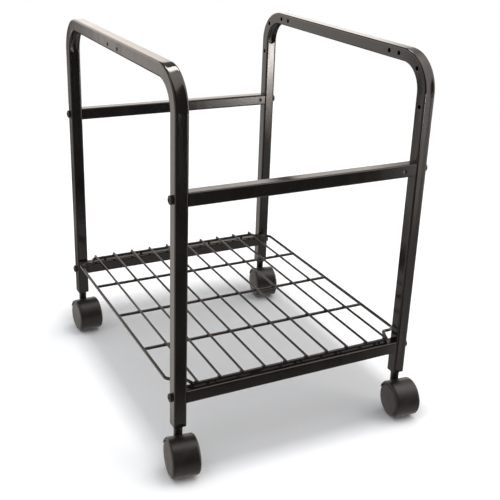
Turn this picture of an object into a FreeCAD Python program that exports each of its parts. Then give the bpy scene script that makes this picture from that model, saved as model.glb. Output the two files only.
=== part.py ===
"""Mobile printer stand: two bent tube frames, four crossbars, a wire shelf and four twin-wheel casters.

Millimetres. X runs across the stand, Y from front to back, Z up from the floor.
The origin is on the floor under the centre of the stand's bounding box.
"""
import FreeCAD, Part
import math
import os

Vector = FreeCAD.Vector
X_AXIS = Vector(1, 0, 0)
Y_AXIS = Vector(0, 1, 0)
Z_AXIS = Vector(0, 0, 1)

# Overall layout. The casters reach further forward than back, so the frame's middle is behind the origin.
FRAME_WIDTH = 390.7
FRAME_DEPTH = 486.2
FRAME_TOP = 567.6
FRAME_MID_Y = 21.0
LEG_BOTTOM = 66.8

# Square tube, the same in the frames and in the crossbars.
TUBE = 19.0
TUBE_WALL = 1.2
TUBE_CORNER = 2.6
BEND_RADIUS = 47.5

# Crossbars.
UPPER_BAR_TOP = 411.7
LOWER_BAR_TOP = 122.2

# Each upper bar has one drain hole for its enamel, in a shallow dimple on the front.
DRAIN_FRONT_X = 157.0
DRAIN_BACK_X = 166.5
DRAIN_RADIUS = 1.4
DIMPLE_SPHERE_RADIUS = 9.0
DIMPLE_DEPTH = 0.6

# Threaded plugs in the bar ends, and the bolts that clamp the legs to them.
PLUG_SIDE = 16.4
PLUG_LENGTH = 32.0
PLUG_CHAMFER = 1.0
THREAD_RADIUS = 3.0
SHANK_RADIUS = 2.95
SHANK_LENGTH = 44.0
LEG_BOLT_HOLE_RADIUS = 3.3
HEAD_RADIUS = 6.2
HEAD_HEIGHT = 4.0
HEAD_DOME_RISE = 1.7
HEX_ACROSS_FLATS = 4.0
HEX_CORNERS = 6
HEX_DEPTH = 2.4
WASHER_RADIUS = 6.0
WASHER_BORE_RADIUS = 3.2
WASHER_THICKNESS = 1.5
WASHER_GAP = 1.4

# Accessory holes through the inner walls of the frames, and two vent holes in the outer walls.
HOLE_RADIUS = 3.0
RAIL_HOLE_Z = 558.1
RAIL_HOLE_INNER_Y = 151.5
RAIL_HOLE_OUTER_Y = 175.0
LEG_HOLE_Z = 492.4
VENT_HOLE_RADIUS = 2.5
VENT_HOLE_Z = 556.0
VENT_HOLE_FRONT_Y = -26.6
VENT_HOLE_BACK_Y = 15.8

# Wire shelf, welded to the lower bars on small beads.
RIM_RADIUS = 2.4
RIM_LIFT = 2.0
DECK_WIRE_RADIUS = 1.85
DECK_WIRE_COUNT = 10
DECK_WIRE_PITCH = 35.2
DECK_WIRE_OVERHANG = 3.5
CROSS_ROD_RADIUS = 2.4
CROSS_ROD_PITCH = 116.0
SIDE_ROD_X = 193.4
NOTCH_TO_FRONT_LEG = 14.0
NOTCH_TO_BACK_LEG = 8.5
NOTCH_INNER_X = 172.0
END_ROD_CORNER_X = 163.0
END_ROD_HALF = 150.0
NOTCH_BEND = 6.0
SIDE_BEND = 10.0
WELD_BEAD_RADIUS = 2.0
WELD_BEAD_PITCH = 70.4
WELD_BEADS_PER_SIDE = 2
WELD_BITE = 0.4

# Twin-wheel caster, in its own frame: the stem is on the Z axis and the wheels trail towards -Y.
WHEEL_RADIUS = 27.2
WHEEL_OUTER_X = 21.4
WHEEL_INNER_X = 8.0
WHEEL_RIM_THICKNESS = 3.6
WHEEL_FACE_THICKNESS = 2.8
WHEEL_DOME = 0.8
WHEEL_DISC_RADIUS = 23.9
WHEEL_DISC_EDGE = 1.0
WHEEL_HUB_RADIUS = 6.5
AXLE_RADIUS = 3.0
AXLE_RUNNING_GAP = 0.06
AXLE_HALF_LENGTH = 17.0
TRAIL = 19.9
HOOD_WALL = 1.7
HOOD_HALF_WIDTH = 20.8
HOOD_SHOULDER = 3.6
HOOD_WHEEL_GAP = 0.4
HOOD_FRONT_ANGLE = 134.0
HOOD_BACK_ANGLE = 66.0
WEB_HALF_WIDTH = 3.0
AXLE_BOSS_RADIUS = 6.5
AXLE_BOSS_HALF = 7.6
NECK_RADIUS = 6.4
NECK_TOP = 61.9
NECK_BOTTOM = 34.0
NECK_EDGE = 0.7
STEM_RADIUS = 3.9
STEM_BOTTOM = 37.0
STEM_TOP = 92.0
STEM_RUNNING_GAP = 0.08
STEM_TIP_CHAMFER = 0.8
STEM_FLOOR_GAP = 0.6
SOCKET_SIDE = 16.2
SOCKET_CLEARANCE = 0.05
SOCKET_TOP = 99.0
SOCKET_SHOULDER = 67.8
COLLAR_RADIUS = 6.9
COLLAR_BOTTOM = 62.4
COLLAR_EDGE = 0.6
RING_Z = 84.0
RING_RADIUS = 4.9
RING_WIRE_RADIUS = 0.9
RING_SPLIT = 1.6
RING_POCKET_RADIUS = 6.2
RING_POCKET_HEIGHT = 3.0

# Which way each caster has settled, in degrees about its stem from straight ahead.
CASTER_YAW = {"front_left": -6.5, "front_right": -5.0, "back_left": 3.0, "back_right": -8.0}

LEG_X = FRAME_WIDTH / 2 - TUBE / 2
LEG_Y = FRAME_DEPTH / 2 - TUBE / 2
INNER_FACE_X = FRAME_WIDTH / 2 - TUBE
OUTER_FACE_X = FRAME_WIDTH / 2
RAIL_Z = FRAME_TOP - TUBE / 2
BEND_Y = LEG_Y - BEND_RADIUS
BEND_Z = RAIL_Z - BEND_RADIUS
UPPER_BAR_Z = UPPER_BAR_TOP - TUBE / 2
LOWER_BAR_Z = LOWER_BAR_TOP - TUBE / 2
RIM_Z = LOWER_BAR_TOP + RIM_LIFT + RIM_RADIUS
DECK_WIRE_Z = RIM_Z + RIM_RADIUS + DECK_WIRE_RADIUS
BEND_HOLE_Y = BEND_Y + BEND_RADIUS * math.cos(math.radians(45))
BEND_HOLE_Z = BEND_Z + BEND_RADIUS * math.sin(math.radians(45))
HOOD_RADIUS = WHEEL_RADIUS + HOOD_WHEEL_GAP + HOOD_WALL
LIP_RADIUS = HOOD_RADIUS - HOOD_SHOULDER
SHOULDER_X = HOOD_HALF_WIDTH - HOOD_SHOULDER
WHEEL_SHOULDER = HOOD_SHOULDER - HOOD_WALL - HOOD_WHEEL_GAP
MARGIN = 1.0


def rounded_square(side, corner):
    """Closed square wire with round corners, centred on the origin in the XY plane."""
    flat = side / 2 - corner
    edges = []
    for quarter in range(4):
        angle = math.radians(90 * quarter)
        turn = FreeCAD.Rotation(Z_AXIS, 90 * quarter)
        centre = turn.multVec(Vector(flat, flat, 0))
        circle = Part.Circle(centre, Z_AXIS, corner)
        edges.append(Part.ArcOfCircle(circle, angle, angle + math.pi / 2).toShape())
        start = turn.multVec(Vector(flat, side / 2, 0))
        end = turn.multVec(Vector(-flat, side / 2, 0))
        edges.append(Part.LineSegment(start, end).toShape())
    return Part.Wire(edges)


def cylinder(radius, start, end):
    """Round bar between two points."""
    span = end.sub(start)
    return Part.makeCylinder(radius, span.Length, start, span)


def centred_box(size_x, size_y, size_z, centre):
    """Box of the given size about a centre point."""
    corner = centre.sub(Vector(size_x / 2, size_y / 2, size_z / 2))
    return Part.makeBox(size_x, size_y, size_z, corner)


def rounded_path(points, radii):
    """Wire of straight runs joined by tangent arcs, one radius for each inner point."""
    edges = []
    run_start = points[0]
    for index, radius in enumerate(radii, start=1):
        before = points[index - 1].sub(points[index]).normalize()
        after = points[index + 1].sub(points[index]).normalize()
        half_angle = before.getAngle(after) / 2
        setback = radius / math.tan(half_angle)
        bisector = before.add(after).normalize()
        arc_start = points[index].add(Vector(before).multiply(setback))
        arc_end = points[index].add(Vector(after).multiply(setback))
        centre = points[index].add(Vector(bisector).multiply(radius / math.sin(half_angle)))
        arc_middle = centre.sub(Vector(bisector).multiply(radius))
        edges.append(Part.LineSegment(run_start, arc_start).toShape())
        edges.append(Part.Arc(arc_start, arc_middle, arc_end).toShape())
        run_start = arc_end
    edges.append(Part.LineSegment(run_start, points[-1]).toShape())
    return Part.Wire(edges)


def cap_profile(base, radius, rise):
    """Arc of a spherical cap in the XY plane, from its edge to the X axis. It stands on base, facing +X."""
    sphere_radius = (radius * radius + rise * rise) / (2 * rise)
    centre_x = base + rise - sphere_radius
    half_angle = math.asin(radius / sphere_radius) / 2
    middle = Vector(centre_x + sphere_radius * math.cos(half_angle), sphere_radius * math.sin(half_angle), 0)
    return Part.Arc(Vector(base, radius, 0), middle, Vector(base + rise, 0, 0)).toShape()


def side_frame(side):
    """Bent tube frame: two legs and a top rail, with its holes. side is -1 for left, +1 for right."""
    corners = [
        Vector(side * LEG_X, -LEG_Y, LEG_BOTTOM),
        Vector(side * LEG_X, -LEG_Y, RAIL_Z),
        Vector(side * LEG_X, LEG_Y, RAIL_Z),
        Vector(side * LEG_X, LEG_Y, LEG_BOTTOM),
    ]
    path = rounded_path(corners, [BEND_RADIUS, BEND_RADIUS])
    outline = rounded_square(TUBE, TUBE_CORNER)
    bore = rounded_square(TUBE - 2 * TUBE_WALL, TUBE_CORNER - TUBE_WALL)
    for section in (outline, bore):
        section.translate(corners[0])
    frame = path.makePipeShell([outline], True, False).cut(path.makePipeShell([bore], True, False))

    inner_wall = (side * (INNER_FACE_X - MARGIN), side * (INNER_FACE_X + 2 * TUBE_WALL))
    outer_wall = (side * (OUTER_FACE_X - 2 * TUBE_WALL), side * (OUTER_FACE_X + MARGIN))
    accessory_holes = [
        (RAIL_HOLE_INNER_Y, RAIL_HOLE_Z),
        (RAIL_HOLE_OUTER_Y, RAIL_HOLE_Z),
        (BEND_HOLE_Y, BEND_HOLE_Z),
        (LEG_Y, LEG_HOLE_Z),
    ]
    drills = []
    for end in (-1, 1):
        for y, z in accessory_holes:
            drills.append((inner_wall, end * y, z, HOLE_RADIUS))
        for z in (UPPER_BAR_Z, LOWER_BAR_Z):
            both_walls = (inner_wall[0], outer_wall[1])
            drills.append((both_walls, end * LEG_Y, z, LEG_BOLT_HOLE_RADIUS))
    for y in (VENT_HOLE_FRONT_Y, VENT_HOLE_BACK_Y):
        # The right frame is the left one turned about Z, so its vents are turned too.
        drills.append((outer_wall, -side * y, VENT_HOLE_Z, VENT_HOLE_RADIUS))
    for (x_start, x_end), y, z, radius in drills:
        frame = frame.cut(cylinder(radius, Vector(x_start, y, z), Vector(x_end, y, z)))
    return frame


def crossbar(y, z):
    """Hollow bar between the legs."""
    half = INNER_FACE_X
    turn = FreeCAD.Rotation(Y_AXIS, 90)
    walls = []
    for side, corner in ((TUBE, TUBE_CORNER), (TUBE - 2 * TUBE_WALL, TUBE_CORNER - TUBE_WALL)):
        section = Part.Face(rounded_square(side, corner))
        section.Placement = FreeCAD.Placement(Vector(-half, y, z), turn)
        walls.append(section.extrude(Vector(2 * half, 0, 0)))
    return walls[0].cut(walls[1])


def upper_bar(y, drain_x):
    """Upper crossbar, with its drain hole near the right end."""
    face_y = y - TUBE / 2
    dimple_centre = Vector(drain_x, face_y - DIMPLE_SPHERE_RADIUS + DIMPLE_DEPTH, UPPER_BAR_Z)
    bar = crossbar(y, UPPER_BAR_Z).cut(Part.makeSphere(DIMPLE_SPHERE_RADIUS, dimple_centre))
    inside = Vector(drain_x, face_y + 2 * TUBE_WALL, UPPER_BAR_Z)
    return bar.cut(cylinder(DRAIN_RADIUS, Vector(drain_x, face_y, UPPER_BAR_Z), inside))


def bolt_places():
    """Side, y and z of each of the frame bolts."""
    places = []
    for side in (-1, 1):
        for end in (-1, 1):
            for z in (UPPER_BAR_Z, LOWER_BAR_Z):
                places.append((side, end * LEG_Y, z))
    return places


def bar_end_plug(side, y, z):
    """Square plug in the end of a crossbar, with the thread for the frame bolt."""
    centre = Vector(side * (INNER_FACE_X - PLUG_LENGTH / 2), y, z)
    plug = centred_box(PLUG_LENGTH, PLUG_SIDE, PLUG_SIDE, centre)
    long_edges = [edge for edge in plug.Edges if edge.Length > PLUG_SIDE + MARGIN]
    plug = plug.makeChamfer(PLUG_CHAMFER, long_edges)
    outside = Vector(side * (INNER_FACE_X + MARGIN), y, z)
    inside = Vector(side * (INNER_FACE_X - PLUG_LENGTH - MARGIN), y, z)
    return plug.cut(cylinder(THREAD_RADIUS, inside, outside))


def frame_bolt(side, y, z):
    """Button-head bolt with a hex socket, through a leg into its plug."""
    washer_face = WASHER_THICKNESS
    crown = Vector(washer_face + HEAD_HEIGHT, 0, 0)
    corner = Vector(washer_face, HEAD_RADIUS, 0)
    rim = Vector(crown.x - HEAD_DOME_RISE, HEAD_RADIUS, 0)
    edges = [
        Part.LineSegment(Vector(washer_face, 0, 0), corner).toShape(),
        Part.LineSegment(corner, rim).toShape(),
        cap_profile(rim.x, HEAD_RADIUS, HEAD_DOME_RISE),
        Part.LineSegment(crown, Vector(washer_face, 0, 0)).toShape(),
    ]
    head = Part.Face(Part.Wire(edges)).revolve(Vector(0, 0, 0), X_AXIS, 360)
    shank_end = washer_face - SHANK_LENGTH
    bolt = head.fuse(cylinder(SHANK_RADIUS, Vector(shank_end, 0, 0), Vector(washer_face, 0, 0)))
    hexagon = []
    reach = HEX_ACROSS_FLATS / 2 / math.cos(math.pi / HEX_CORNERS)
    for index in range(HEX_CORNERS + 1):
        angle = 2 * math.pi * index / HEX_CORNERS
        hexagon.append(Vector(crown.x - HEX_DEPTH, reach * math.cos(angle), reach * math.sin(angle)))
    socket = Part.Face(Part.makePolygon(hexagon)).extrude(Vector(HEX_DEPTH + MARGIN, 0, 0))
    bolt = bolt.cut(socket).removeSplitter()
    return placed_outside(bolt, side, y, z)


def lock_washer(side, y, z):
    """Split lock washer under a bolt head."""
    ring = Part.makeCylinder(WASHER_RADIUS, WASHER_THICKNESS, Vector(0, 0, 0), X_AXIS)
    ring = ring.cut(Part.makeCylinder(WASHER_BORE_RADIUS, WASHER_THICKNESS, Vector(0, 0, 0), X_AXIS))
    split = centred_box(3 * WASHER_THICKNESS, WASHER_GAP, WASHER_RADIUS + MARGIN, Vector(0, 0, WASHER_RADIUS))
    return placed_outside(ring.cut(split), side, y, z)


def placed_outside(shape, side, y, z):
    """Move a shape made along +X from the origin onto the outer face of a leg."""
    if side < 0:
        shape = shape.mirror(Vector(0, 0, 0), X_AXIS)
    shape.translate(Vector(side * OUTER_FACE_X, y, z))
    return shape


def notch_plan(end, notch_to_leg):
    """Plan points of one end of a side rod, from over the lower bar to the corner outside the leg."""
    notch_y = end * (LEG_Y - TUBE / 2 - notch_to_leg)
    return [
        (END_ROD_HALF, end * LEG_Y),
        (END_ROD_CORNER_X, end * LEG_Y),
        (NOTCH_INNER_X, notch_y),
        (SIDE_ROD_X, notch_y),
    ]


def side_rod(side):
    """Shelf rim rod down one side, bent inwards round both legs and back over the lower bars."""
    front = notch_plan(-1, NOTCH_TO_FRONT_LEG)
    back = notch_plan(1, NOTCH_TO_BACK_LEG)
    corners = [Vector(side * x, y, RIM_Z) for x, y in front + back[::-1]]
    bends = [NOTCH_BEND, NOTCH_BEND, SIDE_BEND]
    path = rounded_path(corners, bends + bends[::-1])
    section = Part.Wire(Part.makeCircle(RIM_RADIUS, corners[0], X_AXIS))
    return path.makePipeShell([section], True, False)


def end_rod(end):
    """Straight shelf rim rod over a lower bar, with the weld beads that hold it there."""
    y = end * LEG_Y
    rod = cylinder(RIM_RADIUS, Vector(-END_ROD_HALF, y, RIM_Z), Vector(END_ROD_HALF, y, RIM_Z))
    for index in range(-WELD_BEADS_PER_SIDE, WELD_BEADS_PER_SIDE + 1):
        x = index * WELD_BEAD_PITCH
        foot = Vector(x, y, LOWER_BAR_TOP)
        rod = rod.fuse(cylinder(WELD_BEAD_RADIUS, foot, Vector(x, y, RIM_Z - RIM_RADIUS + WELD_BITE)))
    return rod


def deck_wire(index):
    """One of the thin shelf wires, which run from front to back over the rods."""
    x = (index - (DECK_WIRE_COUNT - 1) / 2) * DECK_WIRE_PITCH
    reach = LEG_Y + DECK_WIRE_OVERHANG
    wire = cylinder(DECK_WIRE_RADIUS, Vector(x, -reach, DECK_WIRE_Z), Vector(x, reach, DECK_WIRE_Z))
    return wire.makeFillet(DECK_WIRE_RADIUS / 2, [edge for edge in wire.Edges if edge.Length < reach])


def cross_rod(index):
    """One of the rods under the deck wires, between the side rods."""
    y = index * CROSS_ROD_PITCH
    z = RIM_Z + RIM_RADIUS - CROSS_ROD_RADIUS
    reach = SIDE_ROD_X - RIM_RADIUS
    return cylinder(CROSS_ROD_RADIUS, Vector(-reach, y, z), Vector(reach, y, z))


def quarter_arc(centre_x, centre_radius, radius):
    """Quarter circle in the XY plane, from straight out along Y round to straight along X."""
    centre = Vector(centre_x, centre_radius, 0)
    half_turn = radius * math.cos(math.radians(45))
    middle = centre.add(Vector(half_turn, half_turn, 0))
    return Part.Arc(centre.add(Vector(0, radius, 0)), middle, centre.add(Vector(radius, 0, 0))).toShape()


def line_chain(points):
    """Straight edges through (x, radius) points in the XY plane."""
    corners = [Vector(x, radius, 0) for x, radius in points]
    return [Part.LineSegment(a, b).toShape() for a, b in zip(corners, corners[1:])]


def caster_wheel(side):
    """Hard wheel: a tread rim with a round shoulder, a raised domed disc and a blind hub for the axle."""
    crown = WHEEL_OUTER_X
    flat = crown - WHEEL_DOME
    inside = flat - WHEEL_FACE_THICKNESS
    bore = AXLE_RADIUS + AXLE_RUNNING_GAP
    hub_end = WHEEL_INNER_X
    rim_inner = WHEEL_RADIUS - WHEEL_RIM_THICKNESS
    blind = AXLE_HALF_LENGTH + AXLE_RUNNING_GAP
    shoulder_end = SHOULDER_X + WHEEL_SHOULDER
    disc_flat = WHEEL_DISC_RADIUS - WHEEL_DISC_EDGE
    edges = line_chain([
        (hub_end, bore),
        (hub_end, WHEEL_HUB_RADIUS),
        (inside, WHEEL_HUB_RADIUS),
        (inside, rim_inner),
        (hub_end, rim_inner),
        (hub_end, WHEEL_RADIUS),
        (SHOULDER_X, WHEEL_RADIUS),
    ])
    edges.append(quarter_arc(SHOULDER_X, LIP_RADIUS, WHEEL_SHOULDER))
    edges += line_chain([
        (shoulder_end, LIP_RADIUS),
        (shoulder_end, WHEEL_DISC_RADIUS),
        (flat - WHEEL_DISC_EDGE, WHEEL_DISC_RADIUS),
    ])
    edges.append(quarter_arc(flat - WHEEL_DISC_EDGE, disc_flat, WHEEL_DISC_EDGE))
    edges.append(cap_profile(flat, disc_flat, WHEEL_DOME))
    edges += line_chain([(crown, 0), (blind, 0), (blind, bore), (hub_end, bore)])
    wheel = Part.Face(Part.Wire(edges)).revolve(Vector(0, 0, 0), X_AXIS, 360)
    if side < 0:
        wheel = wheel.mirror(Vector(0, 0, 0), X_AXIS)
    wheel.translate(Vector(0, -TRAIL, WHEEL_RADIUS))
    return wheel


def hood_shell():
    """Curved cover round both wheels, with a round shoulder and a lip on each side."""
    rims = []
    for radius in (HOOD_SHOULDER, HOOD_SHOULDER - HOOD_WALL):
        right = quarter_arc(SHOULDER_X, LIP_RADIUS, radius)
        left = right.mirror(Vector(0, 0, 0), X_AXIS)
        across = line_chain([(-SHOULDER_X, LIP_RADIUS + radius), (SHOULDER_X, LIP_RADIUS + radius)])
        rims += [left, right] + across
    for side in (-1, 1):
        lip_ends = (SHOULDER_X + HOOD_SHOULDER - HOOD_WALL, HOOD_HALF_WIDTH)
        rims += line_chain([(side * lip_ends[0], LIP_RADIUS), (side * lip_ends[1], LIP_RADIUS)])
    section = Part.Face(Part.Wire(Part.__sortEdges__(rims)))
    # The section stands on the Y axis, which turns up to Z and then back to where the hood starts.
    section.rotate(Vector(0, 0, 0), X_AXIS, 90 - HOOD_BACK_ANGLE)
    shell = section.revolve(Vector(0, 0, 0), X_AXIS, HOOD_BACK_ANGLE + HOOD_FRONT_ANGLE)
    shell.translate(Vector(0, -TRAIL, WHEEL_RADIUS))
    return shell


def hood_point(radius, angle):
    """Point on a circle about the axle, at an angle from straight up towards the front, in the YZ plane."""
    turn = math.radians(angle)
    return Vector(0, -TRAIL - radius * math.sin(turn), WHEEL_RADIUS + radius * math.cos(turn))


def hood_web():
    """Flat web between the wheels, from the axle out into the shell."""
    radius = HOOD_RADIUS - HOOD_WALL / 2
    middle = (HOOD_FRONT_ANGLE - HOOD_BACK_ANGLE) / 2
    start, top, end = [hood_point(radius, angle) for angle in (-HOOD_BACK_ANGLE, middle, HOOD_FRONT_ANGLE)]
    centre = hood_point(0, 0)
    outline = [
        Part.LineSegment(centre, start).toShape(),
        Part.Arc(start, top, end).toShape(),
        Part.LineSegment(end, centre).toShape(),
    ]
    face = Part.Face(Part.Wire(outline))
    face.translate(Vector(-WEB_HALF_WIDTH, 0, 0))
    return face.extrude(Vector(2 * WEB_HALF_WIDTH, 0, 0))


def caster_hood():
    """Hood over both wheels, with its web, the axle boss and the neck that turns on the stem."""
    axle_centre = hood_point(0, 0)
    along_axle = [axle_centre.add(Vector(side * AXLE_BOSS_HALF, 0, 0)) for side in (-1, 1)]
    neck = Part.makeCylinder(NECK_RADIUS, NECK_TOP - NECK_BOTTOM, Vector(0, 0, NECK_BOTTOM))
    neck = neck.makeFillet(NECK_EDGE, [edge for edge in neck.Edges if edge.BoundBox.ZLength < MARGIN])
    hood = hood_shell().fuse([hood_web(), cylinder(AXLE_BOSS_RADIUS, *along_axle), neck])
    stem_bore_bottom = Vector(0, 0, STEM_BOTTOM - STEM_FLOOR_GAP)
    stem_bore = Part.makeCylinder(STEM_RADIUS + STEM_RUNNING_GAP, NECK_TOP, stem_bore_bottom)
    return hood.cut(stem_bore).cut(cylinder(AXLE_RADIUS, *along_axle)).removeSplitter()


def caster_axle():
    """Plain pin through the hood's boss, into both wheel hubs."""
    return cylinder(AXLE_RADIUS, Vector(-AXLE_HALF_LENGTH, -TRAIL, WHEEL_RADIUS),
                    Vector(AXLE_HALF_LENGTH, -TRAIL, WHEEL_RADIUS))


def caster_stem():
    """Pin that stands in the leg socket and that the hood swivels on, with a groove for its grip ring."""
    stem = Part.makeCylinder(STEM_RADIUS, STEM_TOP - STEM_BOTTOM, Vector(0, 0, STEM_BOTTOM))
    stem = stem.makeChamfer(STEM_TIP_CHAMFER, [edge for edge in stem.Edges if edge.BoundBox.ZLength < MARGIN])
    groove = Part.makeTorus(RING_RADIUS - RING_WIRE_RADIUS, RING_WIRE_RADIUS, Vector(0, 0, RING_Z))
    return stem.cut(groove)


def grip_ring():
    """Split spring ring round the stem, which keeps it in its socket."""
    ring = Part.makeTorus(RING_RADIUS - RING_WIRE_RADIUS, RING_WIRE_RADIUS, Vector(0, 0, RING_Z))
    split = centred_box(RING_SPLIT, 2 * RING_RADIUS, 2 * RING_RADIUS, Vector(0, RING_RADIUS, RING_Z))
    return ring.cut(split)


def leg_socket():
    """Plastic insert pressed into the foot of a leg, with a collar and a pocket for the grip ring."""
    height = SOCKET_TOP - SOCKET_SHOULDER
    insert = centred_box(SOCKET_SIDE, SOCKET_SIDE, height, Vector(0, 0, SOCKET_SHOULDER + height / 2))
    uprights = [edge for edge in insert.Edges if edge.BoundBox.ZLength > MARGIN]
    insert = insert.makeChamfer(PLUG_CHAMFER, uprights)
    collar = Part.makeCylinder(COLLAR_RADIUS, SOCKET_SHOULDER - COLLAR_BOTTOM, Vector(0, 0, COLLAR_BOTTOM))
    collar_foot = [edge for edge in collar.Edges if edge.BoundBox.ZMax < SOCKET_SHOULDER - MARGIN]
    collar = collar.makeFillet(COLLAR_EDGE, collar_foot)
    bore = Part.makeCylinder(STEM_RADIUS + SOCKET_CLEARANCE, SOCKET_TOP, Vector(0, 0, COLLAR_BOTTOM - MARGIN))
    pocket_floor = Vector(0, 0, RING_Z - RING_POCKET_HEIGHT / 2)
    pocket = Part.makeCylinder(RING_POCKET_RADIUS, RING_POCKET_HEIGHT, pocket_floor)
    return insert.fuse(collar).cut(bore).cut(pocket).removeSplitter()


def caster_parts():
    """The pieces of each caster, turned to its own heading and moved under its leg."""
    makers = {
        "socket": leg_socket,
        "stem": caster_stem,
        "hood": caster_hood,
        "axle": caster_axle,
        "wheel_left": lambda: caster_wheel(-1),
        "wheel_right": lambda: caster_wheel(1),
    }
    parts = {}
    for place, yaw in CASTER_YAW.items():
        end_name, side_name = place.split("_")
        side = -1 if side_name == "left" else 1
        end = -1 if end_name == "front" else 1
        for piece, make in makers.items():
            shape = make()
            if piece != "socket":
                shape.rotate(Vector(0, 0, 0), Z_AXIS, yaw)
            shape.translate(Vector(side * LEG_X, end * LEG_Y, 0))
            parts[f"caster_{place}_{piece}"] = shape
    return parts


def build():
    """Every sub-part by node name, placed in the stand's frame."""
    parts = {
        "frame_left": side_frame(-1),
        "frame_right": side_frame(1),
        "upper_front_bar": upper_bar(-LEG_Y, DRAIN_FRONT_X),
        "upper_back_bar": upper_bar(LEG_Y, DRAIN_BACK_X),
        "lower_front_bar": crossbar(-LEG_Y, LOWER_BAR_Z),
        "lower_back_bar": crossbar(LEG_Y, LOWER_BAR_Z),
        "bar_end_plugs": Part.makeCompound([bar_end_plug(*place) for place in bolt_places()]),
        "frame_bolts": Part.makeCompound([frame_bolt(*place) for place in bolt_places()]),
        "lock_washers": Part.makeCompound([lock_washer(*place) for place in bolt_places()]),
        "shelf_left_rod": side_rod(-1),
        "shelf_right_rod": side_rod(1),
        "shelf_front_rod": end_rod(-1),
        "shelf_back_rod": end_rod(1),
        "shelf_cross_rod_front": cross_rod(-1),
        "shelf_cross_rod_middle": cross_rod(0),
        "shelf_cross_rod_back": cross_rod(1),
    }
    for index in range(DECK_WIRE_COUNT):
        parts[f"shelf_deck_wire_{index + 1}"] = deck_wire(index)
    parts.update(caster_parts())
    rings = []
    for side in (-1, 1):
        for end in (-1, 1):
            ring = grip_ring()
            ring.translate(Vector(side * LEG_X, end * LEG_Y, 0))
            rings.append(ring)
    parts["grip_rings"] = Part.makeCompound(rings)
    for shape in parts.values():
        shape.translate(Vector(0, FRAME_MID_Y, 0))
    return parts


def main():
    os.makedirs("parts", exist_ok=True)
    for node, shape in build().items():
        assert shape.isValid(), node
        shape.exportStep(f"parts/{node}.step")
        print(f"{node}: {len(shape.Solids)} solid, {shape.Volume / 1000:.2f} cm3")


if __name__ == "__main__":
    main()
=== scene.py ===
import math
import random

import bmesh
import bpy
from mathutils import Euler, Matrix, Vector
from mathutils.geometry import tessellate_polygon


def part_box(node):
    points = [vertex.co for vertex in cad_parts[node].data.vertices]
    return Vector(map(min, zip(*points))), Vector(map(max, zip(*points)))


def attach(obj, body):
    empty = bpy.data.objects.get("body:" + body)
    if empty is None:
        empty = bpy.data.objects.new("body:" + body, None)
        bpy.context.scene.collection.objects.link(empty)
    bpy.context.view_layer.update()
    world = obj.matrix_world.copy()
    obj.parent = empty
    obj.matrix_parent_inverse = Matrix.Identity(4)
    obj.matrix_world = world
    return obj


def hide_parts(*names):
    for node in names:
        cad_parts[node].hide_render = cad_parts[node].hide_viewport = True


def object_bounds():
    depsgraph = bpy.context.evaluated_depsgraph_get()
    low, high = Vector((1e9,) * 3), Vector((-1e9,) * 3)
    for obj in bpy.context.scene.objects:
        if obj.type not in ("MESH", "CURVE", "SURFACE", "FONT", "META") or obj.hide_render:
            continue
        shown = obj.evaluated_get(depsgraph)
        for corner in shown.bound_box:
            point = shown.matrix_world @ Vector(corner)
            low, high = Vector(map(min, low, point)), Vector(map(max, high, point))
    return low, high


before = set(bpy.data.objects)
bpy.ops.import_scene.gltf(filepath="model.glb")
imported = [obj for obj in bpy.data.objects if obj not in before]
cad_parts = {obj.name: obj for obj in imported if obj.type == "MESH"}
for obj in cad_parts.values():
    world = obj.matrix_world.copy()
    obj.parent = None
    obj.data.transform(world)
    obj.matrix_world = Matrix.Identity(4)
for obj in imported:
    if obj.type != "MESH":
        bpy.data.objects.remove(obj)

CAD_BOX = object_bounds()

# The photographer's camera.
CAMERA_PLACE = (-0.57319, -1.15115, 0.76449)
CAMERA_TURN = (68.6838, -1.9104, -26.5004)
CAMERA_LENS = 61.311
CAMERA_SENSOR = 36.0
CAMERA_SHIFT = (0.00806, -0.04952)

# The studio. Azimuths are in degrees to the right of straight ahead of the stand,
# and elevations are in degrees above the floor.
STUDIO_WARMTH = (1.0, 0.92, 0.86)
BACK_WALL = 1.9
BACK_WALL_TOP = (20.3, 24.3)
CEILING = 0.3
BACK_FLOOR_LEFT = 1.25
BACK_FLOOR_MIDDLE = 0.14
BACK_FLOOR_SPLIT = -0.275
DARK_FRONT = 0.1
DARK_FRONT_HALF_ANGLE = 38.0
SIDE_LEFT = 0.8
SIDE_RIGHT = 0.72
SIDE_RIGHT_GLOW = 1.6
SIDE_GLOW_BOTTOM = -0.5
SIDE_GLOW_TOP = -0.22
BACK_WALL_RIGHT_END = 143.0

# Widths over which one part of the room fades into the next, as parts of a ray's length.
# The fade into the back half of the room has its middle a little behind the stand.
WALL_END_FADE = 0.05
BACK_FLOOR_FADE = 0.012
HORIZON_FADE = 0.04
RIGHT_FRONT_FADE = 0.02
LEFT_FRONT_FADE = 0.10
BACK_HALF_MIDDLE = 0.3
BACK_HALF_FADE = 0.4

# A softbox low at the front right. Its heights are where its light starts to rise, where it is full,
# and its top. Its edges are pairs of outer and inner ends, and its light fades between the two.
LOW_SOFTBOX_PLACE = (2.64, -4.256, 0.0)
LOW_SOFTBOX_TURN = 28.6
LOW_SOFTBOX_HEIGHTS = (-0.96, -0.30, -0.22)
LOW_SOFTBOX_EDGES = ((-0.69, -0.10), (0.16, 0.03))
LOW_SOFTBOX_LIGHT = 31.0
LOW_SOFTBOX_SPILL = 1.5
LOW_SOFTBOX_RISE = 1.4

# Area lamps.
HIGH_SOFTBOX = {
    "place": (0.34, 0.57, 1.87),
    "aim": (-0.186, -0.21, 0.56),
    "size": (0.60, 0.36),
    "watts": 9.0,
}
FILL_LIGHT = {
    "place": (0.0, 0.3, 3.0),
    "aim": (0.0, 0.3, 0.0),
    "size": (5.0, 5.0),
    "watts": 93.0,
}

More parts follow.
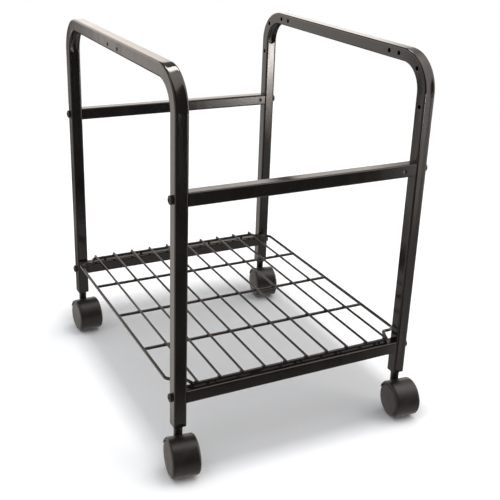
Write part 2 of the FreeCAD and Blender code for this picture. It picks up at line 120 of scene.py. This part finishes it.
# The floor, and the soft-edged cards just over it, with the same pairs of ends.
FLOOR_RADIUS = 2.0
FLOOR_RINGS = 12
FLOOR_SEGMENTS = 96
FLOOR_TINT = (0.84, 0.89, 0.94)
FLOOR_MOTTLE = 0.97
TABLE_GLOW = 0.55
TABLE_PARTS = {
    "under": {"x": ((-0.26, -0.20), (0.42, 0.34)), "y": ((-0.40, -0.28), (0.42, 0.32))},
    "beside": {"x": ((0.34, 0.42), (0.95, 0.85)), "y": ((-1.00, -0.80), (0.20, 0.00))},
}
CARD_Z = 0.004
SHADE_CARD_PASSES = 0.56
SHADE_EDGES_X = ((-0.230, -0.185), (0.248, 0.206))
SHADE_EDGES_Y = ((-0.269, -0.226), (0.356, 0.286))

# Bent tube frames. The outer and inner walls of each bend are drawn in to a trough between two ridges.
# facing is 1 for the wall outside the bend and -1 for the wall inside it. start is how far into the bend
# the trough is at its full depth, and end_length is the distance over which it runs out.
BEND_RADIUS = 0.0475
TUBE_CORNER = 0.0026
TUBE_WALL = 0.0012
CORNER_STEPS = 5
WALL_STEPS = 14
BEND_STEPS = 60
RUN_IN = 0.006
RUN_IN_STEPS = 5
TROUGH_HALF_WIDTH = 0.0074
TROUGH_ROUNDING = 1.5
TROUGHS = (
    {"facing": 1, "depth": 0.0002, "start": 0.012, "end_length": 0.024},
    {"facing": -1, "depth": 0.0032, "start": 0.006, "end_length": 0.009},
)

# Holes in the frames: distance from the middle to the front or back, and height.
LEG_MIDDLE = 0.2336
ACCESSORY_HOLES = ((0.1515, 0.5581), (0.1750, 0.5581), (0.2197, 0.5442), (LEG_MIDDLE, 0.4924))
ACCESSORY_RADIUS = 0.0030
VENT_HOLES = ((-0.0266, 0.5560), (0.0158, 0.5560))
VENT_RADIUS = 0.0025
BOLT_HOLE_RADIUS = 0.0033
HOLE_SEGMENTS = 32
LIP_STEPS = 4
LIP_SHARE = 0.38

# Weld beads where the shelf's wires and rods cross.
DECK_WIRES = 10
BEAD = {"reach": 0.0027, "height": 0.0013}
END_BEAD = {"reach": 0.0034, "height": 0.0023}
BEAD_RINGS = 6
BEAD_SEGMENTS = 12
BEAD_UNEVENNESS = 0.16
BEAD_SEED = 7

# Wear. An edge starts to wear where its surface turns by 6 degrees, and is worn at 26: their cosines.
EDGE_TURN = (0.995, 0.9)
SCUFF_LIFT = 2.5


# ---------------------------------------------------------------- materials

def empty_tree(block):
    """Node tree of a material or a world, with nothing in it yet."""
    block.use_nodes = True
    block.node_tree.nodes.clear()
    return block.node_tree


def to_surface(tree, shader_output):
    """Make a shader the surface of its material."""
    output = tree.nodes.new("ShaderNodeOutputMaterial")
    tree.links.new(shader_output, output.inputs["Surface"])


def blank_material(name):
    """A material with only a Principled shader, its output and object coordinates to work from."""
    material = bpy.data.materials.new(name)
    tree = empty_tree(material)
    shader = tree.nodes.new("ShaderNodeBsdfPrincipled")
    to_surface(tree, shader.outputs["BSDF"])
    place = tree.nodes.new("ShaderNodeTexCoord").outputs["Object"]
    return material, tree, shader, place


def noise(tree, place, scale, detail=3.0, stretch=None):
    """Noise in object space, scale in waves per metre, optionally stretched along the axes."""
    if stretch is not None:
        mapping = tree.nodes.new("ShaderNodeMapping")
        mapping.inputs["Scale"].default_value = stretch
        tree.links.new(place, mapping.inputs["Vector"])
        place = mapping.outputs["Vector"]
    texture = tree.nodes.new("ShaderNodeTexNoise")
    texture.inputs["Scale"].default_value = scale
    texture.inputs["Detail"].default_value = detail
    tree.links.new(place, texture.inputs["Vector"])
    return texture.outputs["Fac"]


def spread(tree, value, low, high, new_low, new_high):
    """Map the range low..high of a value onto new_low..new_high, and hold it there."""
    node = tree.nodes.new("ShaderNodeMapRange")
    node.inputs["From Min"].default_value = low
    node.inputs["From Max"].default_value = high
    node.inputs["To Min"].default_value = new_low
    node.inputs["To Max"].default_value = new_high
    tree.links.new(value, node.inputs["Value"])
    return node.outputs["Result"]


def blend_colours(tree, share, first, second):
    """Mix of two colours by a share. Each is a colour or the output of another node."""
    node = tree.nodes.new("ShaderNodeMix")
    node.data_type = "RGBA"
    tree.links.new(share, node.inputs["Factor"])
    for socket, colour in ((node.inputs[6], first), (node.inputs[7], second)):
        if isinstance(colour, tuple):
            socket.default_value = (*colour, 1.0)
        else:
            tree.links.new(colour, socket)
    return node.outputs[2]


def math_node(tree, operation, first, second):
    """Arithmetic on two values, the second a number or another output."""
    node = tree.nodes.new("ShaderNodeMath")
    node.operation = operation
    tree.links.new(first, node.inputs[0])
    if isinstance(second, float):
        node.inputs[1].default_value = second
    else:
        tree.links.new(second, node.inputs[1])
    return node.outputs["Value"]


def bump(tree, shader, layers):
    """Stack bump layers of (height, distance in metres) onto the shader's normal."""
    normal = None
    for height, distance in layers:
        node = tree.nodes.new("ShaderNodeBump")
        node.inputs["Strength"].default_value = 1.0
        node.inputs["Distance"].default_value = distance
        tree.links.new(height, node.inputs["Height"])
        if normal is not None:
            tree.links.new(normal, node.inputs["Normal"])
        normal = node.outputs["Normal"]
    tree.links.new(normal, shader.inputs["Normal"])


def edge_mask(tree, radius):
    """1 on edges that are sharper than the radius, 0 on flats."""
    bevel = tree.nodes.new("ShaderNodeBevel")
    bevel.samples = 4
    bevel.inputs["Radius"].default_value = radius
    geometry = tree.nodes.new("ShaderNodeNewGeometry")
    dot = tree.nodes.new("ShaderNodeVectorMath")
    dot.operation = "DOT_PRODUCT"
    tree.links.new(bevel.outputs["Normal"], dot.inputs[0])
    tree.links.new(geometry.outputs["Normal"], dot.inputs[1])
    return spread(tree, dot.outputs["Value"], *EDGE_TURN, 0.0, 1.0)


def cloud(tree, place, scale):
    """Noise whose middle values are stretched to run from 0 to 1."""
    return spread(tree, noise(tree, place, scale, detail=4.0), 0.35, 0.65, 0.0, 1.0)


def patchy_wear(tree, place, edge_radius, scale, most):
    """Share of wear, in patches, on edges that are sharper than a radius."""
    patches = spread(tree, noise(tree, place, scale), 0.45, 0.7, 0.0, most)
    return math_node(tree, "MULTIPLY", edge_mask(tree, edge_radius), patches)


def set_roughness(tree, shader, texture, roughness, texture_range=(0.3, 0.7)):
    """Let the roughness follow a noise from its low value to its high one."""
    tree.links.new(spread(tree, texture, *texture_range, *roughness), shader.inputs["Roughness"])


def black_enamel(name, thin_edges):
    """Baked gloss enamel: deep warm black, orange peel, faint handling marks and thin paint on edges."""
    material, tree, shader, place = blank_material(name)
    mottle = cloud(tree, place, scale=22.0)
    colour = blend_colours(tree, mottle, (0.0055, 0.0050, 0.0046), (0.0085, 0.0076, 0.0070))
    if thin_edges:
        worn = patchy_wear(tree, place, edge_radius=0.0012, scale=160.0, most=0.5)
        colour = blend_colours(tree, worn, colour, (0.030, 0.027, 0.025))
    tree.links.new(colour, shader.inputs["Base Color"])
    smears = noise(tree, place, scale=35.0, detail=6.0, stretch=(1.0, 1.0, 0.35))
    set_roughness(tree, shader, smears, roughness=(0.08, 0.18), texture_range=(0.40, 0.72))
    shader.inputs["IOR"].default_value = 1.52
    bump(tree, shader, [
        (noise(tree, place, scale=320.0, detail=2.0), 0.000022),
        (noise(tree, place, scale=1400.0, detail=2.0), 0.000005),
    ])
    return material


def moulded_plastic(name, dark, light, roughness, grain):
    """Moulded nylon: fine spark-eroded grain, flow marks in its gloss and pale scuffs on the high edges."""
    material, tree, shader, place = blank_material(name)
    colour = blend_colours(tree, cloud(tree, place, scale=60.0), dark, light)
    scuffed = patchy_wear(tree, place, edge_radius=0.0009, scale=420.0, most=0.7)
    colour = blend_colours(tree, scuffed, colour, tuple(SCUFF_LIFT * channel for channel in light))
    tree.links.new(colour, shader.inputs["Base Color"])
    set_roughness(tree, shader, noise(tree, place, scale=140.0, detail=5.0), roughness)
    bump(tree, shader, [(noise(tree, place, scale=2600.0, detail=2.0), grain)])
    return material


def plain_metal(name, dark, light, roughness, stretch):
    """Turned or plated steel, with fine tool lines."""
    material, tree, shader, place = blank_material(name)
    lines = noise(tree, place, scale=900.0, detail=3.0, stretch=stretch)
    tree.links.new(blend_colours(tree, lines, dark, light), shader.inputs["Base Color"])
    shader.inputs["Metallic"].default_value = 1.0
    set_roughness(tree, shader, lines, roughness)
    bump(tree, shader, [(lines, 0.00002)])
    return material


def black_oxide(name):
    """Oiled black oxide on bolts and washers, rubbed brown-grey on the edges."""
    material, tree, shader, place = blank_material(name)
    stain = cloud(tree, place, scale=300.0)
    colour = blend_colours(tree, stain, (0.006, 0.0055, 0.0055), (0.012, 0.011, 0.010))
    colour = blend_colours(tree, edge_mask(tree, 0.0006), colour, (0.060, 0.055, 0.050))
    tree.links.new(colour, shader.inputs["Base Color"])
    set_roughness(tree, shader, noise(tree, place, scale=500.0), roughness=(0.24, 0.42))
    shader.inputs["Specular IOR Level"].default_value = 0.24
    bump(tree, shader, [(noise(tree, place, scale=1800.0, detail=3.0), 0.00002)])
    return material


def all_materials():
    """Every finish by the record's slot name."""
    return {
        "black_enamel": black_enamel("black_enamel", thin_edges=True),
        "wire_enamel": black_enamel("wire_enamel", thin_edges=False),
        "black_hardware": black_oxide("black_hardware"),
        "plug_steel": plain_metal(
            "plug_steel",
            dark=(0.30, 0.30, 0.31),
            light=(0.50, 0.50, 0.51),
            roughness=(0.30, 0.45),
            stretch=(0.05, 1.0, 1.0),
        ),
        "bare_steel": plain_metal(
            "bare_steel",
            dark=(0.42, 0.42, 0.43),
            light=(0.60, 0.60, 0.61),
            roughness=(0.18, 0.30),
            stretch=(1.0, 1.0, 0.1),
        ),
        "hood_plastic": moulded_plastic(
            "hood_plastic",
            dark=(0.007, 0.0062, 0.0058),
            light=(0.011, 0.010, 0.009),
            roughness=(0.28, 0.40),
            grain=0.00003,
        ),
        "wheel_plastic": moulded_plastic(
            "wheel_plastic",
            dark=(0.012, 0.011, 0.0105),
            light=(0.020, 0.0185, 0.0175),
            roughness=(0.30, 0.42),
            grain=0.00002,
        ),
        "socket_plastic": moulded_plastic(
            "socket_plastic",
            dark=(0.010, 0.010, 0.010),
            light=(0.016, 0.016, 0.016),
            roughness=(0.40, 0.55),
            grain=0.00002,
        ),
    }


# ------------------------------------------------------------------- studio

def direction(azimuth, elevation):
    """Unit vector from the stand, by degrees to the right of straight ahead and degrees above the floor."""
    around = math.radians(azimuth)
    up = math.radians(elevation)
    return Vector((math.sin(around) * math.cos(up), -math.cos(around) * math.cos(up), math.sin(up)))


def step_up(tree, value, middle, width):
    """0 below a value and 1 above it, softened over a width."""
    return spread(tree, value, middle - 0.5 * width, middle + 0.5 * width, 0.0, 1.0)


def blend_values(tree, share, first, second):
    """Mix of two brightness values by a share. Each is a number or the output of another node."""
    node = tree.nodes.new("ShaderNodeMix")
    tree.links.new(share, node.inputs["Factor"])
    for socket, value in ((node.inputs[2], first), (node.inputs[3], second)):
        if isinstance(value, float):
            socket.default_value = value
        else:
            tree.links.new(value, socket)
    return node.outputs[0]


def facing(tree, ray, towards):
    """How far a ray points along a direction: 1 along it, 0 square to it, -1 against it."""
    dot = tree.nodes.new("ShaderNodeVectorMath")
    dot.operation = "DOT_PRODUCT"
    tree.links.new(ray, dot.inputs[0])
    dot.inputs[1].default_value = towards
    return dot.outputs["Value"]


def half_room(tree, ray, azimuth, fade):
    """1 for rays to the half of the room around an azimuth, and 0 for rays to the other half."""
    return step_up(tree, facing(tree, ray, direction(azimuth, 0.0)), 0.0, fade)


def make_world():
    """A room pale behind the stand, black in front of it and lit at the sides. The camera sees it white."""
    world = bpy.data.worlds.new("studio")
    bpy.context.scene.world = world
    tree = empty_tree(world)
    output = tree.nodes.new("ShaderNodeOutputWorld")
    ray = tree.nodes.new("ShaderNodeTexCoord").outputs["Generated"]
    parts = tree.nodes.new("ShaderNodeSeparateXYZ")
    tree.links.new(ray, parts.inputs["Vector"])
    right, back, up = parts.outputs
    wall_top = [math.sin(math.radians(angle)) for angle in BACK_WALL_TOP]
    wall = spread(tree, up, *wall_top, BACK_WALL, CEILING)
    on_wall = half_room(tree, ray, 90.0 + BACK_WALL_RIGHT_END, WALL_END_FADE)
    wall = blend_values(tree, on_wall, SIDE_RIGHT, wall)
    past_split = step_up(tree, right, BACK_FLOOR_SPLIT, BACK_FLOOR_FADE)
    low_back = blend_values(tree, past_split, BACK_FLOOR_LEFT, BACK_FLOOR_MIDDLE)
    behind = blend_values(tree, step_up(tree, up, 0.0, HORIZON_FADE), low_back, wall)
    glow = spread(tree, up, SIDE_GLOW_BOTTOM, SIDE_GLOW_TOP, 0.0, 1.0)
    glow = math_node(tree, "MULTIPLY", math_node(tree, "MULTIPLY", glow, glow), SIDE_RIGHT_GLOW)
    right_side = math_node(tree, "ADD", glow, SIDE_RIGHT)
    on_right = half_room(tree, ray, 90.0 + DARK_FRONT_HALF_ANGLE, RIGHT_FRONT_FADE)
    on_left = half_room(tree, ray, -90.0 - DARK_FRONT_HALF_ANGLE, LEFT_FRONT_FADE)
    front = blend_values(tree, on_right, DARK_FRONT, right_side)
    front = blend_values(tree, on_left, front, SIDE_LEFT)
    in_back_half = step_up(tree, back, BACK_HALF_MIDDLE, BACK_HALF_FADE)
    light = blend_values(tree, in_back_half, front, behind)
    studio = tree.nodes.new("ShaderNodeBackground")
    studio.inputs["Color"].default_value = (*STUDIO_WARMTH, 1.0)
    tree.links.new(light, studio.inputs["Strength"])
    white = tree.nodes.new("ShaderNodeBackground")
    white.inputs["Color"].default_value = (1.0, 1.0, 1.0, 1.0)
    white.inputs["Strength"].default_value = 1.0
    mix = tree.nodes.new("ShaderNodeMixShader")
    tree.links.new(tree.nodes.new("ShaderNodeLightPath").outputs["Is Camera Ray"], mix.inputs["Fac"])
    tree.links.new(studio.outputs["Background"], mix.inputs[1])
    tree.links.new(white.outputs["Background"], mix.inputs[2])
    tree.links.new(mix.outputs["Shader"], output.inputs["Surface"])


def make_lamp(name, lamp_data, colour):
    """Rectangular area light, out of the camera's sight."""
    light = bpy.data.lights.new(name, "AREA")
    light.shape = "RECTANGLE"
    light.size, light.size_y = lamp_data["size"]
    light.energy = lamp_data["watts"]
    light.color = colour
    lamp = bpy.data.objects.new(name, light)
    lamp.location = lamp_data["place"]
    aim = Vector(lamp_data["aim"]) - lamp.location
    lamp.rotation_euler = aim.to_track_quat("-Z", "Y").to_euler()
    lamp.visible_camera = False
    bpy.context.scene.collection.objects.link(lamp)
    return lamp


def make_lights():
    """A flagged softbox high behind, for the bent frames only, and a fill that never shows in the gloss."""
    flagged = make_lamp("high_softbox", HIGH_SOFTBOX, STUDIO_WARMTH)
    flagged.light_linking.receiver_collection = bpy.data.collections.new("bent_frames")
    make_lamp("fill", FILL_LIGHT, (1.0, 1.0, 1.0)).visible_glossy = False


def disc(name, radius, z, rings, segments):
    """Flat disc of concentric rings, facing up."""
    mesh = bmesh.new()
    previous = [mesh.verts.new((0.0, 0.0, z))]
    for ring in range(1, rings + 1):
        reach = radius * ring / rings
        turns = [2 * math.pi * step / segments for step in range(segments)]
        current = [mesh.verts.new((reach * math.cos(turn), reach * math.sin(turn), z)) for turn in turns]
        for step in range(segments):
            after = (step + 1) % segments
            if len(previous) == 1:
                mesh.faces.new((previous[0], current[step], current[after]))
            else:
                mesh.faces.new((previous[step], current[step], current[after], previous[after]))
        previous = current
    return to_object(mesh, name)


def to_object(mesh, name):
    """Turn a bmesh into a linked object."""
    mesh.normal_update()
    data = bpy.data.meshes.new(name)
    mesh.to_mesh(data)
    mesh.free()
    piece = bpy.data.objects.new(name, data)
    bpy.context.scene.collection.objects.link(piece)
    return piece


def make_floor():
    """White floor. Its own image is kept out of the enamel, which reflects the studio instead."""
    floor = disc("floor", FLOOR_RADIUS, CAD_BOX[0][2], FLOOR_RINGS, FLOOR_SEGMENTS)
    material, tree, shader, place = blank_material("floor_paper")
    mottle = noise(tree, place, scale=9.0, detail=5.0)
    darker = tuple(FLOOR_MOTTLE * channel for channel in FLOOR_TINT)
    tree.links.new(blend_colours(tree, mottle, FLOOR_TINT, darker), shader.inputs["Base Color"])
    shader.inputs["Roughness"].default_value = 0.9
    shader.inputs["Specular IOR Level"].default_value = 0.1
    floor.data.materials.append(material)
    floor.visible_glossy = False


def make_card(name, corners):
    """One flat face, out of the camera's sight. Returns it, its empty material and its own X, Y and Z."""
    mesh = bmesh.new()
    mesh.faces.new([mesh.verts.new(corner) for corner in corners])
    card = to_object(mesh, name)
    material = bpy.data.materials.new(name)
    card.data.materials.append(material)
    card.visible_camera = False
    tree = empty_tree(material)
    place = tree.nodes.new("ShaderNodeSeparateXYZ")
    tree.links.new(tree.nodes.new("ShaderNodeTexCoord").outputs["Object"], place.inputs["Vector"])
    return card, material, place.outputs


def studio_glow(tree):
    """Emission in the studio's warm white."""
    glow = tree.nodes.new("ShaderNodeEmission")
    glow.inputs["Color"].default_value = (*STUDIO_WARMTH, 1.0)
    return glow


def soft_card(name, edges_x, edges_y):
    """Flat card just over the floor. Returns it, its node tree and a share that fades out at its edges."""
    xs, ys = [[outer for outer, inner in edges] for edges in (edges_x, edges_y)]
    corners = [(xs[0], ys[0]), (xs[1], ys[0]), (xs[1], ys[1]), (xs[0], ys[1])]
    card, material, place = make_card(name, [(x, y, CARD_Z) for x, y in corners])
    tree = material.node_tree
    inside = None
    for value, edges in ((place["X"], edges_x), (place["Y"], edges_y)):
        for outer, inner in edges:
            ramp = spread(tree, value, outer, inner, 0.0, 1.0)
            inside = ramp if inside is None else math_node(tree, "MULTIPLY", inside, ramp)
    return card, tree, inside


def make_low_softbox():
    """Softbox low at the front right, brighter upwards, whose light only reflections see.

    It shows in the upper back bar and in the bent frames, which bent_frame adds to its receivers.
    """
    low, full, top = LOW_SOFTBOX_HEIGHTS
    left, right = [outer for outer, inner in LOW_SOFTBOX_EDGES]
    corners = [(left, 0.0, low), (right, 0.0, low), (right, 0.0, top), (left, 0.0, top)]
    card, material, place = make_card("low_softbox", corners)
    card.location = LOW_SOFTBOX_PLACE
    card.rotation_euler.z = math.radians(LOW_SOFTBOX_TURN)
    material.cycles.emission_sampling = "NONE"
    tree = material.node_tree
    rise = math_node(tree, "POWER", spread(tree, place["Z"], low, full, 0.0, 1.0), LOW_SOFTBOX_RISE)
    light = math_node(tree, "MULTIPLY", rise, LOW_SOFTBOX_LIGHT)
    light = math_node(tree, "ADD", light, LOW_SOFTBOX_SPILL)
    for outer, inner in LOW_SOFTBOX_EDGES:
        light = math_node(tree, "MULTIPLY", light, spread(tree, place["X"], outer, inner, 0.0, 1.0))
    glow = studio_glow(tree)
    tree.links.new(light, glow.inputs["Strength"])
    to_surface(tree, glow.outputs["Emission"])
    card.visible_diffuse = False
    card.visible_shadow = False
    receivers = bpy.data.collections.new("low_softbox_receivers")
    receivers.objects.link(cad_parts["upper_back_bar"])
    card.light_linking.receiver_collection = receivers


def make_shade_card():
    """Half-clear card, hidden from view, which makes one even shade under the stand."""
    card, tree, inside = soft_card("shade_card", SHADE_EDGES_X, SHADE_EDGES_Y)
    clear = tree.nodes.new("ShaderNodeBsdfTransparent")
    shade = (SHADE_CARD_PASSES,) * 3
    tree.links.new(blend_colours(tree, inside, (1.0, 1.0, 1.0), shade), clear.inputs["Color"])
    to_surface(tree, clear.outputs["BSDF"])
    card.visible_glossy = False


def make_table_glow(part, edges):
    """A part of the pale table under and beside the stand, which only reflections see."""
    card, tree, inside = soft_card("table_glow_" + part, edges["x"], edges["y"])
    glow = studio_glow(tree)
    glow.inputs["Strength"].default_value = TABLE_GLOW
    clear = tree.nodes.new("ShaderNodeBsdfTransparent")
    mix = tree.nodes.new("ShaderNodeMixShader")
    tree.links.new(inside, mix.inputs["Fac"])
    tree.links.new(clear.outputs["BSDF"], mix.inputs[1])
    tree.links.new(glow.outputs["Emission"], mix.inputs[2])
    to_surface(tree, mix.outputs["Shader"])
    card.visible_diffuse = False
    card.visible_shadow = False


def make_camera():
    """Camera at the photograph's place, with its framing."""
    data = bpy.data.cameras.new("camera")
    data.lens = CAMERA_LENS
    data.sensor_width = CAMERA_SENSOR
    data.shift_x, data.shift_y = CAMERA_SHIFT
    camera = bpy.data.objects.new("camera", data)
    camera.location = CAMERA_PLACE
    camera.rotation_euler = Euler([math.radians(angle) for angle in CAMERA_TURN])
    bpy.context.scene.collection.objects.link(camera)
    bpy.context.scene.camera = camera


# ------------------------------------------------------------------- pieces

def half_path(start_y, foot_z, rail_z):
    """Stations of a frame's tube from its front foot to the rail.

    Each is a place, the outward direction there, and the distance into the bend.
    """
    arc = BEND_RADIUS * math.pi / 2
    centre = Vector((0.0, start_y + BEND_RADIUS, rail_z - BEND_RADIUS))
    stations = [(Vector((0.0, start_y, foot_z)), Vector((0.0, -1.0, 0.0)), -1.0)]
    for step in range(RUN_IN_STEPS, 0, -1):
        short = RUN_IN * step / RUN_IN_STEPS
        stations.append((Vector((0.0, start_y, centre.z - short)), Vector((0.0, -1.0, 0.0)), -short))
    for step in range(BEND_STEPS + 1):
        turn = math.pi / 2 * step / BEND_STEPS
        outward = Vector((0.0, -math.cos(turn), math.sin(turn)))
        stations.append((centre + outward * BEND_RADIUS, outward, turn * BEND_RADIUS))
    for step in range(1, RUN_IN_STEPS + 1):
        past = RUN_IN * step / RUN_IN_STEPS
        stations.append((Vector((0.0, centre.y + past, rail_z)), Vector((0.0, 0.0, 1.0)), arc + past))
    return stations


def frame_path(low, high):
    """Stations of the whole tube inside a frame's box, front foot to back foot."""
    half = (high.x - low.x) / 2
    front = half_path(low.y + half, low.z, high.z - half)
    back = []
    for place, outward, along in reversed(front):
        mirrored = Vector((0.0, low.y + high.y - place.y, place.z))
        back.append((mirrored, Vector((0.0, -outward.y, outward.z)), along))
    return front + back


def trough_depth(trough, along, across):
    """Depth of a bend's trough at a distance into the bend and a distance across the wall."""
    arc = BEND_RADIUS * math.pi / 2
    over = max(0.0, trough["start"] - along, along - (arc - trough["start"]))
    reach = (across / TROUGH_HALF_WIDTH) ** 2 + (over / trough["end_length"]) ** 2
    return trough["depth"] * max(0.0, 1.0 - reach) ** TROUGH_ROUNDING


def wall_section(half, corner):
    """Points across one wall of the tube and round both its corners: distance across and distance out."""
    flat = half - corner
    turns = [math.pi / 2 * step / CORNER_STEPS for step in range(CORNER_STEPS + 1)]
    first = [(-flat - corner * math.cos(turn), flat + corner * math.sin(turn)) for turn in turns]
    middle = [(flat * (2 * step / WALL_STEPS - 1), half) for step in range(1, WALL_STEPS)]
    last = [(-across, out) for across, out in reversed(first)]
    return first + middle + last


def tube_walls(mesh, path, half, corner, middle_x):
    """The outer and inner walls of the bent tube with their corners, as rows of vertices by station."""
    walls = []
    for trough in TROUGHS:
        rows = []
        for place, outward, along in path:
            row = []
            for across, out in wall_section(half, corner):
                reach = trough["facing"] * (out - trough_depth(trough, along, across))
                spot = place + outward * reach
                row.append(mesh.verts.new((middle_x + across, spot.y, spot.z)))
            rows.append(row)
        for row, after in zip(rows, rows[1:]):
            for column in range(len(row) - 1):
                corners = (row[column], row[column + 1], after[column + 1], after[column])
                mesh.faces.new(corners).smooth = True
        walls.append(rows)
    return walls


def circle(mesh, x, y, z, radius):
    """Ring of vertices round a hole in a side wall."""
    turns = [2 * math.pi * step / HOLE_SEGMENTS for step in range(HOLE_SEGMENTS)]
    return [mesh.verts.new((x, y + radius * math.cos(turn), z + radius * math.sin(turn))) for turn in turns]


def ring_faces(mesh, ring, after, smooth):
    """Band of faces between two closed rings."""
    for step in range(len(ring)):
        following = (step + 1) % len(ring)
        corners = (ring[step], ring[following], after[following], after[step])
        mesh.faces.new(corners).smooth = smooth


def side_wall(mesh, walls, column, holes):
    """Flat side of the tube between the edges of its outer and inner walls, with holes."""
    outer, inner = walls
    outline = [row[column] for row in outer] + [row[column] for row in reversed(inner)]
    loops = [outline] + holes
    corners = [vertex for loop in loops for vertex in loop]
    flat_loops = [[Vector((vertex.co.y, vertex.co.z, 0.0)) for vertex in loop] for loop in loops]
    for triangle in tessellate_polygon(flat_loops):
        mesh.faces.new([corners[index] for index in triangle])


def rolled_hole(mesh, side_x, inward, y, z, radius):
    """Hole through a side wall, with a rolled rim. Returns its rings in the wall's two faces."""
    lip = LIP_SHARE * radius
    rings = []
    for step in range(LIP_STEPS + 1):
        turn = math.pi / 2 * step / LIP_STEPS
        sunk = lip * (1.0 - math.cos(turn))
        rings.append(circle(mesh, side_x + inward * sunk, y, z, radius + lip * (1.0 - math.sin(turn))))
    rings.append(circle(mesh, side_x + inward * TUBE_WALL, y, z, radius))
    for ring, after in zip(rings, rings[1:]):
        ring_faces(mesh, ring, after, True)
    return rings[0], rings[-1]


def bent_frame(name, node, side, finish):
    """Side frame with drawn-in bends and rolled holes. side is -1 for the left one and 1 for the right."""
    low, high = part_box(node)
    half = (high.x - low.x) / 2
    middle_x, middle_y = (low.x + high.x) / 2, (low.y + high.y) / 2
    bars = [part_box(bar) for bar in ("upper_front_bar", "lower_front_bar")]
    bolt_heights = [(bar_low.z + bar_high.z) / 2 for bar_low, bar_high in bars]
    bolt_holes = [(end * LEG_MIDDLE, z, BOLT_HOLE_RADIUS) for end in (-1, 1) for z in bolt_heights]
    accessories = [(end * y, z, ACCESSORY_RADIUS) for end in (-1, 1) for y, z in ACCESSORY_HOLES]
    vents = [(-side * y, z, VENT_RADIUS) for y, z in VENT_HOLES]
    mesh = bmesh.new()
    path = frame_path(low, high)
    skin = tube_walls(mesh, path, half, TUBE_CORNER, middle_x)
    bore = tube_walls(mesh, path, half - TUBE_WALL, TUBE_CORNER - TUBE_WALL, middle_x)
    # A wall's first column of vertices is on the tube's left side, and its last on the right side.
    for column, face in ((0, -1), (-1, 1)):
        holes = bolt_holes + (accessories if face == -side else vents)
        side_x = middle_x + face * half
        rings = [rolled_hole(mesh, side_x, -face, middle_y + y, z, radius) for y, z, radius in holes]
        side_wall(mesh, skin, column, [outer for outer, inner in rings])
        side_wall(mesh, bore, column, [inner for outer, inner in rings])
    for station in (0, -1):
        foot = [skin[0][station] + skin[1][station][::-1], bore[0][station] + bore[1][station][::-1]]
        ring_faces(mesh, *foot, False)
        for ring in foot:
            for vertex, following in zip(ring, ring[1:] + ring[:1]):
                mesh.edges.get((vertex, following)).smooth = False
    bmesh.ops.recalc_face_normals(mesh, faces=mesh.faces)
    piece = to_object(mesh, name)
    bpy.data.collections["bent_frames"].objects.link(piece)
    bpy.data.collections["low_softbox_receivers"].objects.link(piece)
    piece.data.materials.append(finish)
    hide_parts(node)
    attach(piece, "frame")


def weld_bead(mesh, centre, size, rough):
    """Low uneven blob of weld metal under the enamel."""

    def spot(turn, rise):
        wobble = 1.0 + BEAD_UNEVENNESS * rough.uniform(-1.0, 1.0)
        out = size["reach"] * math.cos(rise) * wobble
        up = size["height"] * math.sin(rise)
        return mesh.verts.new(centre + Vector((out * math.cos(turn), out * math.sin(turn), up)))

    foot = mesh.verts.new(centre - Vector((0.0, 0.0, size["height"])))
    crown = mesh.verts.new(centre + Vector((0.0, 0.0, size["height"])))
    rings = []
    for ring in range(1, BEAD_RINGS):
        rise = math.pi * (ring / BEAD_RINGS - 0.5)
        rings.append([spot(2 * math.pi * step / BEAD_SEGMENTS, rise) for step in range(BEAD_SEGMENTS)])
    for ring, after in zip(rings, rings[1:]):
        ring_faces(mesh, ring, after, True)
    for step in range(BEAD_SEGMENTS):
        following = (step + 1) % BEAD_SEGMENTS
        mesh.faces.new((foot, rings[0][following], rings[0][step])).smooth = True
        mesh.faces.new((crown, rings[-1][step], rings[-1][following])).smooth = True


def shelf_welds(finish):
    """Weld beads at every crossing of a deck wire with a rod, and at the ends of the cross rods."""
    cross_rods = ["shelf_cross_rod_front", "shelf_cross_rod_middle", "shelf_cross_rod_back"]
    rough = random.Random(BEAD_SEED)
    mesh = bmesh.new()
    for rod in cross_rods + ["shelf_front_rod", "shelf_back_rod"]:
        low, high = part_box(rod)
        size = BEAD if rod in cross_rods else END_BEAD
        for wire in range(1, DECK_WIRES + 1):
            wire_low, wire_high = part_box(f"shelf_deck_wire_{wire}")
            spot = Vector(((wire_low.x + wire_high.x) / 2, (low.y + high.y) / 2, wire_low.z))
            weld_bead(mesh, spot, size, rough)
    for rod in cross_rods:
        low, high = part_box(rod)
        for x in (low.x, high.x):
            weld_bead(mesh, Vector((x, (low.y + high.y) / 2, (low.z + high.z) / 2)), BEAD, rough)
    bmesh.ops.recalc_face_normals(mesh, faces=mesh.faces)
    piece = to_object(mesh, "shelf_welds")
    piece.data.materials.append(finish)
    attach(piece, "frame")


# -------------------------------------------------------------------- build

def finish_nodes(materials):
    """Give every CAD node the finish of its slot."""
    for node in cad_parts.values():
        for slot in node.material_slots:
            slot.material = materials[slot.material.name.split(".")[0]]


make_camera()
make_world()
make_lights()
make_floor()
make_shade_card()
for part, edges in TABLE_PARTS.items():
    make_table_glow(part, edges)
make_low_softbox()
bpy.context.scene.view_settings.view_transform = "Standard"
materials = all_materials()
finish_nodes(materials)
bent_frame("bent_frame_left", "frame_left", -1, materials["black_enamel"])
bent_frame("bent_frame_right", "frame_right", 1, materials["black_enamel"])
shelf_welds(materials["wire_enamel"])
